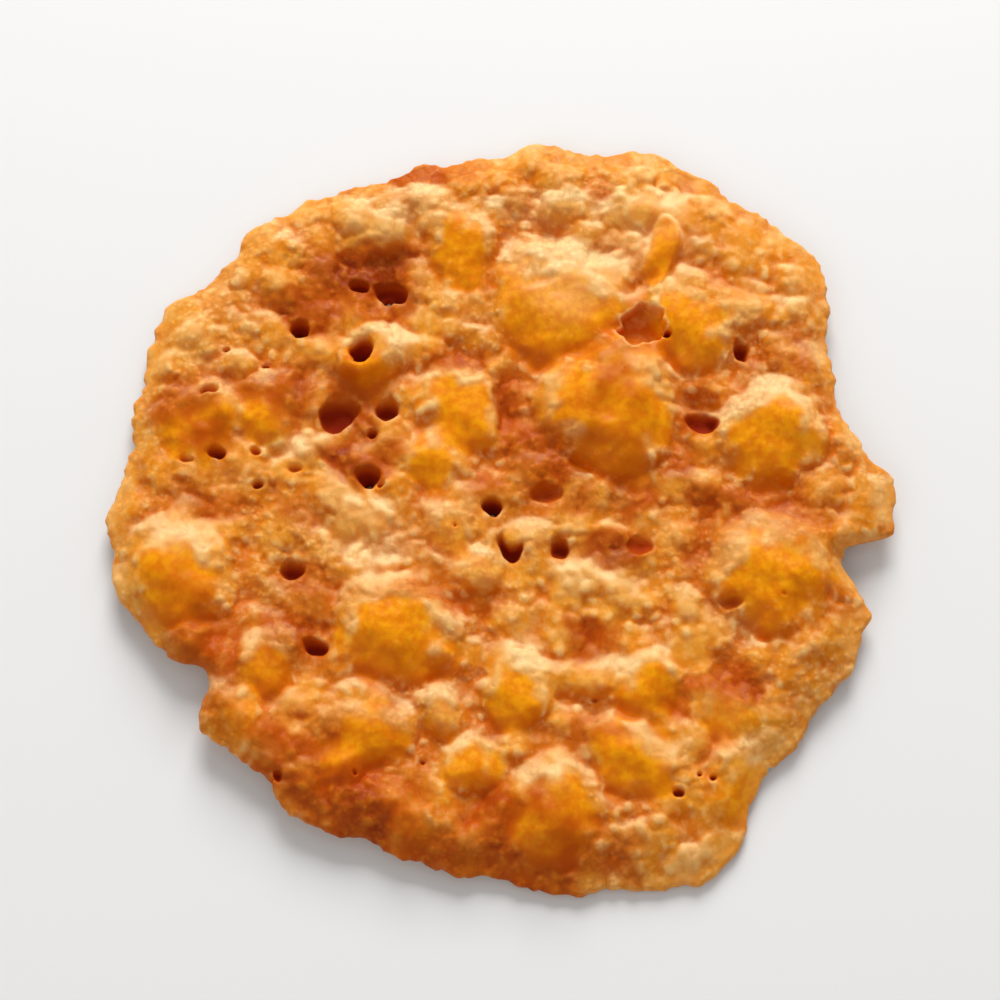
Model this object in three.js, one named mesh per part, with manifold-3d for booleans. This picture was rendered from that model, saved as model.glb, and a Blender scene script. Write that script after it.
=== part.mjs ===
// A lace cookie: a thin, crisp wafer of butter, sugar and flour that spread, boiled into blisters
// and set in the oven. It is one solid: a round plate with a ragged, slightly lifted rim, a flat
// underside, domed blisters on top, and burst bubbles that left pits and a few holes right through.
// Millimetres, +Z up. It lies on its underside with the blistered side up, and the origin is the
// middle of its box, on the surface that it lies on.
import * as THREE from "three";
import { mergeVertices } from "three/addons/utils/BufferGeometryUtils.js";
import Module from "manifold-3d";

// Driving dimensions.
const RIM_RADIUS = 38; // average radius of the baked disc
const EDGE_THICKNESS = 0.8; // crisp edge
const WAFER_THICKNESS = 2.0; // between the blisters
const EDGE_TAPER = 0.14; // share of the radius over which the wafer thins to its edge
const RELIEF_TAPER = 0.07; // share of the radius over which the blisters fade out at the edge
const RIM_LIFT = 2.4; // most that the rim stands off the table
const FLAT_SHARE = 0.62; // share of the radius that lies flat
const RAGGED = 0.35; // how far the small crumbs along the rim stand in and out
const RIPPLE = 0.22; // height of the low unevenness between the blisters
const BLISTER_BLEND = 3; // how sharply neighbouring blisters meet: higher is sharper
const DOME_BEND = 0.7; // how full a blister is: 0.5 is half a ball, and higher is more pointed
const SIDES = 132; // steps round the plate
const TOP_RINGS = 24;
const UNDER_RINGS = 4; // over the lifted part of the underside, since the flat part needs none
const PIT_SIDES = 8;
const PIT_FLARE = 1.25; // how much wider a hole is at the top than at the underside
const PIT_FLOOR = 0.7; // thickness left under a pit that isn't a hole

// The rim's radius as a share of RIM_RADIUS, at each angle in degrees from +X towards +Y: one entry
// for each bulge, hollow, chip and the beak on the right where the batter ran out.
const RIM = [
  [-174, 1.013],
  [-166, 1.012],
  [-160, 0.963],
  [-154, 0.947],
  [-148, 0.866],
  [-140, 0.968],
  [-130, 0.934],
  [-121, 0.973],
  [-109, 0.95],
  [-103, 0.976],
  [-92, 0.978],
  [-83, 1.026],
  [-73, 1.068],
  [-60, 1.13],
  [-55, 1.112],
  [-50, 1.04],
  [-43, 1.003],
  [-38, 1.028],
  [-34, 1.002],
  [-26, 1.038],
  [-18, 1.034],
  [-13, 0.965],
  [-8, 0.937],
  [-4.5, 1.068],
  [1, 1.058],
  [8, 1.01],
  [16, 0.962],
  [26, 1.003],
  [31, 1.052],
  [38, 1.108],
  [43, 1.107],
  [52, 1.082],
  [61, 1.09],
  [68, 1.078],
  [75, 1.03],
  [81, 1.047],
  [88, 0.993],
  [97, 0.978],
  [108, 0.968],
  [118, 0.984],
  [129, 1.012],
  [137, 0.98],
  [148, 1.026],
  [158, 1.003],
  [171, 0.972],
];

// The blisters: x and y of the middle, radius, and height above the wafer.
const BLISTERS = [
  [12.4, 10.4, 7.6, 3.4],
  [6.8, 21, 7.4, 2.5],
  [20.4, 19.2, 6, 2.7],
  [27.7, 7.5, 5.5, 2.7],
  [27.7, -7.2, 6, 2.8],
  [-31, -6.9, 6.2, 2.6],
  [-9.6, -13.4, 6.4, 2.9],
  [-3, 26.8, 4.6, 2],
  [-23.6, 9, 4.2, 1.9],
  [-29.5, 8, 4.4, 1.7],
  [-12.4, 14.8, 4.2, 2.4],
  [3, -18.6, 4.4, 2.1],
  [16.2, -18, 4.3, 2],
  [-12.6, -23.8, 5, 2.1],
  [6.4, -30.6, 6, 2.2],
  [14.7, -25.6, 4.4, 2],
  [24, -28.2, 4.2, 1.4],
  [-21.9, -16.6, 4.2, 1.9],
  [-3.4, 9.6, 4.6, 1.8],
  [-6.1, 4.3, 3.6, 1.7],
  [-1.3, -7, 2.6, 1.9],
  [-3.9, -2.9, 3, 1.4],
  [-5, -21.1, 3, 1.8],
  [-2.1, -25.9, 3.6, 1.8],
  [22.9, -21.9, 3.2, 1.4],
];

// The burst bubbles: x and y of the middle, radius, and whether it is a hole right through.
const PITS = [
  [-10.8, 22.2, 1.3, true],
  [-19.6, 18.3, 0.9, true],
  [-13.4, 15.6, 1.2, true],
  [-12.3, 2.6, 1.2, true],
  [0.1, -0.4, 1.0, true],
  [-15.2, 9.4, 1.7, false],
  [-10.4, 9.7, 1.1, false],
  [-27.7, 5.0, 0.8, false],
  [2.0, -4.4, 1.4, false],
  [6.8, -4.6, 1.0, false],
  [15.1, -4.4, 1.2, false],
  [21.4, 8.4, 1.4, false],
  [25.3, 16.0, 0.9, false],
  [15.2, 17.9, 2.3, false],
  [-17.3, -14.9, 1.1, false],
  [-19.8, -7.0, 1.0, false],
];

const smoothstep = THREE.MathUtils.smoothstep;
const radians = THREE.MathUtils.degToRad;

// The slope of a curve at a stop between two stretches: level at a peak or a hollow, so that the
// curve never overshoots its stops.
function slopeBetween(before, after) {
  return before * after > 0 ? (2 * before * after) / (before + after) : 0;
}

// Radius of the rim at an angle, on a smooth closed curve through the entries of RIM.
function rimRadius(angle) {
  const count = RIM.length;
  const [degrees, share] = [0, 1].map((field) => (i) => RIM[(i + count) % count][field]);
  const gap = (i) => radians(THREE.MathUtils.euclideanModulo(degrees(i + 1) - degrees(i), 360));
  const steepness = (i) => (share(i + 1) - share(i)) / gap(i);
  const turn = THREE.MathUtils.euclideanModulo(angle - radians(degrees(0)), 2 * Math.PI);
  const later = RIM.findIndex(([at]) => radians(at - degrees(0)) > turn);
  const i = later < 0 ? count - 1 : later - 1;
  const t = (turn - radians(degrees(i) - degrees(0))) / gap(i);
  const start = slopeBetween(steepness(i - 1), steepness(i)) * gap(i);
  const end = slopeBetween(steepness(i), steepness(i + 1)) * gap(i);
  const bend = share(i) * (1 + 2 * t) * (1 - t) ** 2 + share(i + 1) * (3 - 2 * t) * t ** 2;
  const lean = start * t * (1 - t) ** 2 - end * (1 - t) * t ** 2;
  return RIM_RADIUS * (bend + lean) + RAGGED * Math.sin(31 * angle) * Math.sin(9 * angle + 1);
}

// Distance from the middle at a share of the way to the rim. Only the outer rings follow the rim's
// bulges and chips, so the middle stays round.
function distanceAt(angle, share) {
  return RIM_RADIUS * share + (rimRadius(angle) - RIM_RADIUS) * share ** 4;
}

// How far the underside stands off the table: flat in the middle, and a wavy lift towards the rim.
function underside(angle, share) {
  const wave = 0.55 + 0.3 * Math.sin(2 * angle + 0.6) + 0.15 * Math.sin(3 * angle + 2);
  return RIM_LIFT * wave * smoothstep(share, FLAT_SHARE, 1) ** 1.5;
}

// Height of the blisters at a point. They meet in creases, because a power mean lets the higher win.
function blistered(x, y) {
  const caps = BLISTERS.map(([bx, by, radius, rise]) => {
    const reach = Math.hypot(x - bx, y - by) / radius;
    return reach < 1 ? rise * (1 - reach ** 2) ** DOME_BEND : 0;
  });
  return caps.reduce((sum, cap) => sum + cap ** BLISTER_BLEND, 0) ** (1 / BLISTER_BLEND);
}

function thickness(x, y, share) {
  const inner = smoothstep(1 - share, 0, EDGE_TAPER);
  const ripple = RIPPLE * Math.sin(0.9 * x + 0.4 * y) * Math.sin(0.8 * y - 0.3 * x + 1);
  const plate = THREE.MathUtils.lerp(EDGE_THICKNESS, WAFER_THICKNESS + ripple, inner);
  return plate + blistered(x, y) * smoothstep(1 - share, 0, RELIEF_TAPER);
}

// The plate without its pits: a disc of radius 1 and height 1, turned on a lathe, whose two sides are
// then shaped. Its profile runs from the axis along the top, down the edge and back underneath.
function plateGeometry() {
  const profile = [];
  for (let i = 0; i <= TOP_RINGS; i++) profile.push(new THREE.Vector2(i / TOP_RINGS, 1));
  for (let i = 0; i <= UNDER_RINGS; i++)
    profile.push(new THREE.Vector2(THREE.MathUtils.lerp(1, FLAT_SHARE, i / UNDER_RINGS), 0));
  profile.push(new THREE.Vector2(0, 0));
  const plate = new THREE.LatheGeometry(profile.reverse(), SIDES);
  plate.rotateX(Math.PI / 2);
  plate.deleteAttribute("normal");
  plate.deleteAttribute("uv");
  const position = plate.getAttribute("position");
  for (let i = 0; i < position.count; i++) {
    const angle = Math.atan2(position.getY(i), position.getX(i));
    const share = Math.hypot(position.getX(i), position.getY(i));
    const x = distanceAt(angle, share) * Math.cos(angle);
    const y = distanceAt(angle, share) * Math.sin(angle);
    const top = position.getZ(i) > 0.5 ? thickness(x, y, share) : 0;
    position.setXYZ(i, x, y, underside(angle, share) + top);
  }
  return mergeVertices(plate, 1e-4);
}

// The air of one burst bubble: a cone that is open at the top and, for a hole, at the underside.
function pitGeometry([x, y, radius, through]) {
  const height = 4 * WAFER_THICKNESS;
  const bottom = through ? -height / 2 : PIT_FLOOR;
  const pit = new THREE.CylinderGeometry(radius * PIT_FLARE, radius, height, PIT_SIDES);
  pit.rotateX(Math.PI / 2);
  pit.translate(x, y, bottom + height / 2);
  pit.deleteAttribute("normal");
  pit.deleteAttribute("uv");
  return mergeVertices(pit, 1e-4);
}

const wasm = await Module();
wasm.setup();

function solidOf(geometry) {
  return new wasm.Manifold(
    new wasm.Mesh({
      numProp: 3,
      vertProperties: new Float32Array(geometry.getAttribute("position").array),
      triVerts: new Uint32Array(geometry.index.array),
    }),
  );
}

function geometryOf(solid) {
  const mesh = solid.getMesh();
  return new THREE.BufferGeometry()
    .setAttribute("position", new THREE.BufferAttribute(mesh.vertProperties, 3))
    .setIndex(new THREE.BufferAttribute(mesh.triVerts, 1));
}

function cookieGeometry() {
  const pitted = PITS.reduce(
    (solid, pit) => solid.subtract(solidOf(pitGeometry(pit))),
    solidOf(plateGeometry()),
  );
  const geometry = geometryOf(pitted);
  geometry.computeVertexNormals();
  return geometry;
}

const crust = new THREE.MeshStandardMaterial({ color: 0xdc8a34, roughness: 0.45, metalness: 0 });
const cookie = new THREE.Mesh(cookieGeometry(), crust);
cookie.name = "cookie";

// The rim is uneven, so the solid is moved until the middle of its box is over the origin.
cookie.geometry.computeBoundingBox();
const middle = cookie.geometry.boundingBox.getCenter(new THREE.Vector3());
cookie.position.set(-middle.x, -middle.y, 0);

const part = new THREE.Group();
part.add(cookie);
export default part;
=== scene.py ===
# %% [markdown]
# # A lace cookie
#
# A lace cookie is a spoonful of butter, sugar and flour that melts into a thin puddle in the
# oven. The puddle boils: big bubbles lift thin shells of caramel, small ones make a froth
# between them, and some burst and leave pits or holes. Then it all sets hard. This lesson models
# that one piece and its crust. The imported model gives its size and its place: metres, +Z up,
# lying on z = 0.

# %% Load the frame
import math

import bmesh
import bpy
import numpy as np
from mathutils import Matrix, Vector


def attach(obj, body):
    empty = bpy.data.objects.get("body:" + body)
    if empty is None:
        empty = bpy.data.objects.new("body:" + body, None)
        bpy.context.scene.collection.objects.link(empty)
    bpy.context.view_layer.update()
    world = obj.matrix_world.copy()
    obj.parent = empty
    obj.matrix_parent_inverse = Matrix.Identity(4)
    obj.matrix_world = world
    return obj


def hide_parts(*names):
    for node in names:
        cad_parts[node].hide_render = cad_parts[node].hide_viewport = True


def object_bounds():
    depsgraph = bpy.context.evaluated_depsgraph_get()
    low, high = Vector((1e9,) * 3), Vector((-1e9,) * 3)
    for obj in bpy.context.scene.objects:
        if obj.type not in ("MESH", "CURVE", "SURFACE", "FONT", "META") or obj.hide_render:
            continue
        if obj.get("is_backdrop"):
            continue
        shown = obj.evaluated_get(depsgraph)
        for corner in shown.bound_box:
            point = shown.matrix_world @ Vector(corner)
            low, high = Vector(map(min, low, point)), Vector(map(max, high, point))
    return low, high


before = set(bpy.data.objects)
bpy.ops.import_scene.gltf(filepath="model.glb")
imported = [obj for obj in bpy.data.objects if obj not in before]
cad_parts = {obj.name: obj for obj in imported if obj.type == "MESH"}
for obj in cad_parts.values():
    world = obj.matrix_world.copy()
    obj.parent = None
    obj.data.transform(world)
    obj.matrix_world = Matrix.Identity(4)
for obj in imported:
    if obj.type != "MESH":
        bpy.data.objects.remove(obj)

cad_low, cad_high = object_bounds()
cad_size = (cad_high - cad_low) * 1000
print(f"The cookie's box is {cad_size.x:.1f} x {cad_size.y:.1f} x {cad_size.z:.1f} mm")

# %% [markdown]
# ## The wafer's outline
#
# Batter runs out unevenly, so the rim has bulges, hollows, a chip at the lower left and a beak
# on the right. A list of stops, each an angle and a share of the average radius, is enough to
# hold that, with a smooth curve through them. The curve is level at each peak and hollow, so it
# never overshoots.

# %% The outline
RIM_RADIUS = 38.0  # average radius, mm
RIM = [
    (-174, 1.013), (-166, 1.012), (-160, 0.963), (-154, 0.947), (-148, 0.866), (-140, 0.968),
    (-130, 0.934), (-121, 0.973), (-109, 0.95), (-103, 0.976), (-92, 0.978), (-83, 1.026),
    (-73, 1.068), (-60, 1.13), (-55, 1.112), (-50, 1.04), (-43, 1.003), (-38, 1.028), (-34, 1.002),
    (-26, 1.038), (-18, 1.034), (-13, 0.965), (-8, 0.937), (-4.5, 1.068), (1, 1.058), (8, 1.01),
    (16, 0.962), (26, 1.003), (31, 1.052), (38, 1.108), (43, 1.107), (52, 1.082), (61, 1.09),
    (68, 1.078), (75, 1.03), (81, 1.047), (88, 0.993), (97, 0.978), (108, 0.968), (118, 0.984),
    (129, 1.012), (137, 0.98), (148, 1.026), (158, 1.003), (171, 0.972),
]  # degrees from +X towards +Y, share of RIM_RADIUS
RAGGED = 0.35  # how far the crumbs along the rim stand in and out, mm


def rim_radius(angle):
    """Radius of the rim in mm at each angle in radians."""
    degrees, share = np.array(RIM, float).T
    stops = np.radians(np.append(degrees, degrees[0] + 360) - degrees[0])
    level = np.append(share, share[0])
    gap = np.diff(stops)
    steepness = np.diff(level) / gap
    before = np.roll(steepness, 1)
    product = before * steepness
    flat = np.zeros_like(product)
    slope = np.divide(2 * product, before + steepness, out=flat, where=product > 0)
    slope = np.append(slope, slope[0])
    turn = np.mod(angle - math.radians(RIM[0][0]), 2 * math.pi)
    i = np.clip(np.searchsorted(stops, turn, side="right") - 1, 0, len(RIM) - 1)
    t = (turn - stops[i]) / gap[i]
    bend = level[i] * (1 + 2 * t) * (1 - t) ** 2 + level[i + 1] * (3 - 2 * t) * t ** 2
    lean = gap[i] * (slope[i] * t * (1 - t) ** 2 - slope[i + 1] * (1 - t) * t ** 2)
    return RIM_RADIUS * (bend + lean) + RAGGED * np.sin(31 * angle) * np.sin(9 * angle + 1)


TURN = np.linspace(0, 2 * math.pi, 720, endpoint=False)
OUTLINE = np.stack([np.cos(TURN), np.sin(TURN)], 1) * rim_radius(TURN)[:, None]
MIDDLE = (OUTLINE.min(0) + OUTLINE.max(0)) / 2  # what the part's source moves to the origin
print("The outline measures", np.ptp(OUTLINE, axis=0).round(1), "mm")

# %% [markdown]
# ## A map of heights
#
# Thousands of bubbles overlap, and as many separate meshes would be slow to join. So each bubble
# is drawn into a map first: a square grid of cells, 0.1 mm apart, that holds a height in mm.
# Where two bubbles meet the higher one wins, which gives the crease that soap bubbles have too.
# The mesh reads the map afterwards. The map also needs noise of its own: random numbers,
# smoothed to a width in mm.

# %% The map and its noise
CELL = 0.1  # mm
HALF = 42.0  # mm from the middle of the map to its side
CELLS = round(2 * HALF / CELL)
AXIS = (np.arange(CELLS) + 0.5) * CELL - HALF
MAP_X, MAP_Y = np.meshgrid(AXIS, AXIS)
random = np.random.default_rng(20)


def blur(field, width):
    """The map, smoothed over a width in mm."""
    waves = np.exp(-2 * (np.pi * width * np.fft.fftfreq(CELLS, CELL)) ** 2)
    return np.fft.ifft2(np.fft.fft2(field) * np.outer(waves, waves)).real


def noise(width):
    """A cloudy map, average 0 and spread 1, whose clouds are about that wide in mm."""
    clouds = blur(random.standard_normal((CELLS, CELLS)), width / 2)
    return (clouds - clouds.mean()) / clouds.std()


def smoothstep(x, low, high):
    """0 at low, 1 at high, and a soft rise between them."""
    t = np.clip((x - low) / (high - low), 0, 1)
    return t * t * (3 - 2 * t)


print("The map has", CELLS, "x", CELLS, "cells")

# %% [markdown]
# ## One bubble on the map
#
# No bubble in stiff batter is a perfect round. Two noises push every place on the map a little
# aside before its distance from the bubble is measured, so the round comes out bent, as in a bad
# mirror.

# %% Distance from a bubble
BEND_X = 0.55 * noise(5) + 0.22 * noise(1.8)  # mm
BEND_Y = 0.55 * noise(5) + 0.22 * noise(1.8)
BENT_RADIUS = 4.0  # a bubble of this radius takes the whole bend, and smaller ones their share
WOBBLE_X, WOBBLE_Y = 0.1 * noise(0.9), 0.1 * noise(0.9)  # mm, for bubbles of every size


def around(x, y, radius, stretch=1.0, turn=0.0, margin=1.6):
    """The window of the map round a bubble, and each cell's distance from its middle in radii."""
    wide = radius * max(stretch, 1 / stretch) + margin
    first_row, last_row = (int((y + side * wide + HALF) / CELL) for side in (-1, 1))
    first_column, last_column = (int((x + side * wide + HALF) / CELL) for side in (-1, 1))
    cells = np.s_[max(first_row, 0) : last_row, max(first_column, 0) : last_column]
    bent = min(1, radius / BENT_RADIUS)
    dx = MAP_X[cells] + bent * BEND_X[cells] + WOBBLE_X[cells] - x
    dy = MAP_Y[cells] + bent * BEND_Y[cells] + WOBBLE_Y[cells] - y
    along = (dx * math.cos(turn) + dy * math.sin(turn)) / stretch
    across = (dy * math.cos(turn) - dx * math.sin(turn)) * stretch
    return cells, np.hypot(along, across) / radius


# %% [markdown]
# ## The large blisters
#
# These are the shells that give this cookie its face, so each has its own place, radius and
# height. The first 25 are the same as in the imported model, and the rest are too small for it. A
# power mean joins them, so neighbours meet in a crease. As each rose, the froth on it slid to
# the far side and left bare skin on the near side. A second map, `shell`, remembers that skin
# for the froth and the colours.

# %% Blisters
BLISTERS = [
    (12.4, 10.4, 7.6, 3.4), (6.8, 21, 7.4, 2.5), (20.4, 19.2, 6, 2.7), (27.7, 7.5, 5.5, 2.7),
    (27.7, -7.2, 6, 2.8), (-31, -6.9, 6.2, 2.6), (-9.6, -13.4, 6.4, 2.9), (-3, 26.8, 4.6, 2),
    (-23.6, 9, 4.2, 1.9), (-29.5, 8, 4.4, 1.7), (-12.4, 14.8, 4.2, 2.4), (3, -18.6, 4.4, 2.1),
    (16.2, -18, 4.3, 2), (-12.6, -23.8, 5, 2.1), (6.4, -30.6, 6, 2.2), (14.7, -25.6, 4.4, 2),
    (24, -28.2, 4.2, 1.4), (-21.9, -16.6, 4.2, 1.9), (-3.4, 9.6, 4.6, 1.8), (-6.1, 4.3, 3.6, 1.7),
    (-1.3, -7, 2.6, 1.9), (-3.9, -2.9, 3, 1.4), (-5, -21.1, 3, 1.8), (-2.1, -25.9, 3.6, 1.8),
    (22.9, -21.9, 3.2, 1.4), (-24.6, -21.7, 2.8, 1.3), (-7.9, -32.0, 2.8, 1.2),
    (20.0, -11.0, 1.9, 1.5), (12.5, -8.4, 1.8, 1.3), (10.4, -18.1, 2.6, 1.5),
    (19.7, -24.2, 2.2, 1.3), (21.6, 5.2, 1.9, 1.2), (7.2, 31.2, 2.6, 1.3), (16.0, 30.6, 2.8, 1.2),
    (-3.9, 18.2, 1.6, 1.2), (-25.7, 14.3, 1.9, 1.2), (28.2, 16.8, 1.3, 0.9),
    (-18.0, -20.3, 2.2, 1.1), (-14.5, -1.8, 2.2, 1.1), (17.6, 26.0, 2.5, 1.5),
]  # x, y, radius, height above the wafer, mm
BLISTER_BLEND = 3  # how sharply neighbours meet
DOME_BEND = 0.7  # how full a blister is: 0.5 is half a ball, and higher is more pointed
SHELL_RADIUS = 3.6  # a blister of this radius has a wholly smooth skin, mm
SKIN_REACH = 0.85  # radius of the skin, as a share of the blister's
SLID = 0.28  # how far the skin lies towards the near side, as a share of the blister's radius
SKIN_EDGE = (0.66, 1.06)  # where the skin begins to fade and where it ends, in its own radii

tatters = 0.15 * noise(1.2)  # unevenness of the skin's edge
domes = np.zeros((CELLS, CELLS))
shell = np.zeros((CELLS, CELLS))  # 1 on the smooth skin of a large blister
for x, y, radius, rise in BLISTERS:
    cells, reach = around(x, y, radius)
    dome = rise * np.clip(1 - reach**2, 0, 1) ** DOME_BEND
    domes[cells] = (domes[cells] ** BLISTER_BLEND + dome**BLISTER_BLEND) ** (1 / BLISTER_BLEND)
    cells, reach = around(x, y - SLID * radius, SKIN_REACH * radius, margin=3)
    skin = 1 - smoothstep(reach + tatters[cells], *SKIN_EDGE)
    shell[cells] = np.maximum(shell[cells], skin * min(1, (radius / SHELL_RADIUS) ** 1.5))
print(len(BLISTERS), "blisters, the highest", round(domes.max(), 2), "mm above the wafer")

# %% [markdown]
# ## Basins
#
# Where a bubble collapsed without bursting, the wafer sank in a soft basin that browned more.

# %% Basins
BASINS = [
    (-12.8, 24.0, 4.6, 0.8), (5.6, 1.4, 2.4, 0.6), (21.2, 10.4, 1.9, 1.1), (9.6, -13.6, 2.4, 0.6),
    (24.3, -17.2, 3.0, 0.5), (-13.0, 9.6, 4.0, 0.5), (-19.6, -7.0, 2.4, 0.5),
    (27.0, 16.4, 2.6, 0.5), (6.8, 28.6, 2.2, 0.5), (11.5, 31.8, 1.7, 0.4), (-1.0, 16.0, 2.4, 0.5),
    (-4.0, -10.5, 1.8, 0.5),
]  # x, y, radius, depth, mm
basins = np.zeros((CELLS, CELLS))
for x, y, radius, depth in BASINS:
    cells, reach = around(x, y, radius)
    basins[cells] = np.maximum(basins[cells], depth * np.clip(1 - reach**2, 0, 1) ** 1.2)
print(len(BASINS), "basins, the deepest", round(basins.max(), 2), "mm")

# %% [markdown]
# ## Lumps and froth
#
# Between the blisters the batter froths. Lumps of 2 to 6 mm sit wherever a blister leaves room,
# and froth of bubbles under 2 mm rides on them. Each is drawn at a random place that no earlier
# bubble has taken, the large ones first, which is how bubbles share out space too.

# %% Scatter bubbles
SPACING = 0.8  # share of its radius that a bubble keeps to itself


def scatter(radii, where, taken):
    """Random bubbles from the largest down, as x, y, radius, stretch and turn."""
    bubbles = []
    for radius in np.sort(radii)[::-1]:
        x, y = random.uniform(-HALF + 3, HALF - 3, 2)
        stretch, turn = random.uniform(0.82, 1.22), random.uniform(0, math.pi)
        row, column = int((y + HALF) / CELL), int((x + HALF) / CELL)
        if taken[row, column] or random.random() > where[row, column]:
            continue
        cells, reach = around(x, y, radius, stretch, turn, margin=0.6)
        taken[cells] |= reach < SPACING
        bubbles.append((x, y, radius, stretch, turn))
    return bubbles


def draw(bubbles, rises, fullness):
    """A map of domes, each as high as a random share of its radius."""
    field = np.zeros((CELLS, CELLS))
    for x, y, radius, stretch, turn in bubbles:
        cells, reach = around(x, y, radius, stretch, turn, margin=0.6)
        dome = radius * random.uniform(*rises) * np.clip(1 - reach**2, 0, 1) ** fullness
        field[cells] = np.maximum(field[cells], dome)
    return field


# %% Lumps, then froth
lump_radii = 1.2 + 1.9 * random.random(9000) ** 1.5  # mm, most of them small
lump_places = scatter(lump_radii, 1 - 0.9 * shell, shell > 0.5)
lumps = np.clip(blur(draw(lump_places, (0.14, 0.43), 0.8), 0.12), 0, None)

froth = 0.25 + 0.75 * smoothstep(noise(5) + 0.5 * noise(1.8), -0.9, 0.9)  # where the batter foamed
bubble_radii = 0.33 + 0.55 * random.random(40000) ** 2
bubble_places = scatter(bubble_radii, froth, np.zeros((CELLS, CELLS), bool))
bubbles = draw(bubble_places, (0.22, 0.52), 0.7)
shell = np.maximum(shell, 0.25 * smoothstep(lumps, 0.4, 0.9))  # a high lump shows some skin too
print(len(lump_places), "lumps and", len(bubble_places), "bubbles of froth")

# %% [markdown]
# ## Burst bubbles
#
# A bubble that bursts leaves a pit that leans under its near edge, so the far wall slopes and
# the near one is steep. The deepest reach the underside as holes, which are cut out of the mesh
# later. Inside one of the pits, another bubble rose before the caramel set.

# %% Pits
PITS = [
    (-10.6, 22.3, 1.45, 2.4, 1.3, -22), (-13.6, 23.0, 0.8, 1.7, 1.2, -15),
    (-19.6, 18.3, 1.05, 2.2, 1.0, 0), (-13.4, 15.6, 1.3, 3.2, 1.0, 0),
    (-15.2, 9.4, 2.0, 2.0, 1.1, 20), (-10.4, 9.7, 1.15, 1.8, 1.0, 0),
    (-11.9, 7.4, 0.5, 1.1, 1.0, 0), (-12.3, 2.6, 1.25, 2.3, 1.0, 0), (-11.0, 1.7, 0.4, 0.9, 1.0, 0),
    (-27.7, 5.0, 0.8, 1.4, 1.2, 0), (-23.7, 5.1, 0.55, 1.0, 1.0, 0),
    (-30.6, 4.1, 0.5, 0.8, 1.3, -20), (-23.3, 1.8, 0.5, 1.1, 1.2, 20),
    (-19.8, 3.4, 0.6, 0.8, 1.2, 0), (-23.1, 14.1, 0.42, 1.1, 1.0, 0),
    (-26.7, 15.9, 0.3, 0.7, 1.0, 0), (-28.6, 11.4, 0.65, 1.0, 1.45, 30),
    (-19.8, -7.0, 1.1, 1.5, 1.2, -20), (-17.3, -14.9, 1.1, 1.6, 1.3, -25),
    (-20.4, -27.7, 0.55, 1.2, 0.7, 0), (-13.1, -27.5, 0.32, 0.7, 1.0, 0),
    (-6.7, -26.4, 0.3, 0.6, 1.0, 0), (0.1, -0.4, 1.0, 2.3, 1.0, 0), (2.0, -4.4, 1.6, 1.9, 0.9, 0),
    (6.8, -4.6, 1.15, 1.5, 0.85, 0), (15.1, -4.4, 1.3, 1.1, 1.0, 0),
    (21.4, 8.4, 1.45, 2.0, 1.25, 0), (25.3, 16.0, 0.95, 1.5, 0.8, 20),
    (17.8, 17.4, 0.45, 2.6, 1.0, 0), (18.1, -29.4, 0.5, 1.3, 1.0, 0),
    (20.4, -27.6, 0.3, 0.7, 1.0, 0), (21.7, -27.9, 0.35, 0.9, 1.0, 0),
    (23.9, -10.4, 1.0, 0.8, 1.2, 0), (10.3, -20.2, 0.3, 0.6, 1.2, 0),
    (-3.5, -2.5, 0.28, 0.6, 1.0, 0), (28.8, -10.0, 0.28, 0.6, 1.0, 0), (5.3, 1.0, 1.5, 0.8, 1.3, 0),
]  # x, y, radius and depth in mm, stretch, and its turn in degrees
LATE_BUBBLE = (2.3, -3.9, 1.15)  # x, y, radius of the bubble that rose inside a pit
LATE_RISE = 1.7  # mm
pits = np.zeros((CELLS, CELLS))  # depth, mm
bare = np.zeros((CELLS, CELLS))  # 1 where no froth grows, in and just round a pit
for x, y, radius, depth, stretch, turn in PITS:
    cells, reach = around(x, y, radius, stretch, math.radians(turn), margin=3)
    front = smoothstep((y - MAP_Y[cells]) / radius, -0.9, 0.3)  # 1 on the near side
    cup = np.clip(1 - reach**2, 0, 1) ** (0.9 - 0.5 * front)
    pits[cells] = np.maximum(pits[cells], depth * (0.3 + 0.7 * front) * cup)
    bare[cells] = np.maximum(bare[cells], 1 - smoothstep(reach, 0.75, 1.05))
cells, reach = around(*LATE_BUBBLE)
pits[cells] -= np.minimum(pits[cells], LATE_RISE * np.clip(1 - reach**2, 0, 1) ** DOME_BEND)
pit_browning_and_shade = pits.copy()  # a pit is darker the deeper it goes: partly dark caramel, partly painted shade
print(len(PITS), "pits, the deepest", round(pits.max(), 2), "mm")

# %% [markdown]
# ## The blister that broke open
#
# One large shell cracked when it was already hard, so it has a torn window instead of a smooth
# pit. Its edge is a round whose radius changes by a random amount about every 15 degrees.

# %% Torn window
WINDOW = (15.2, 17.9, 2.5, 1.12, 0.4)  # x, y, radius in mm, stretch, and its turn in radians
WINDOW_DEPTH = 1.5  # mm
TORN = random.uniform(-0.16, 0.16, 24)  # how far its edge stands in and out, in radii
cells, reach = around(*WINDOW)
compass = np.arctan2(MAP_Y[cells] - WINDOW[1], MAP_X[cells] - WINDOW[0])
ways = np.linspace(-math.pi, math.pi, len(TORN))
torn = reach + np.interp(compass, ways, TORN, period=2 * math.pi)
opening = 1 - smoothstep(torn, 0.86, 0.94)
lip = np.zeros((CELLS, CELLS))  # 1 on the torn edge
lip[cells] = np.exp(-(((torn - 1.0) / 0.07) ** 2))
pits[cells] = np.maximum(pits[cells], WINDOW_DEPTH * opening)
pit_browning_and_shade[cells] = np.maximum(pit_browning_and_shade[cells], 0.15 * opening)  # it is paler inside than a pit
bare[cells] = np.maximum(bare[cells], 1 - smoothstep(reach, 0.9, 1.2))
print("The window is", round(2 * WINDOW[2] * WINDOW[3], 1), "mm long")
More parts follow.
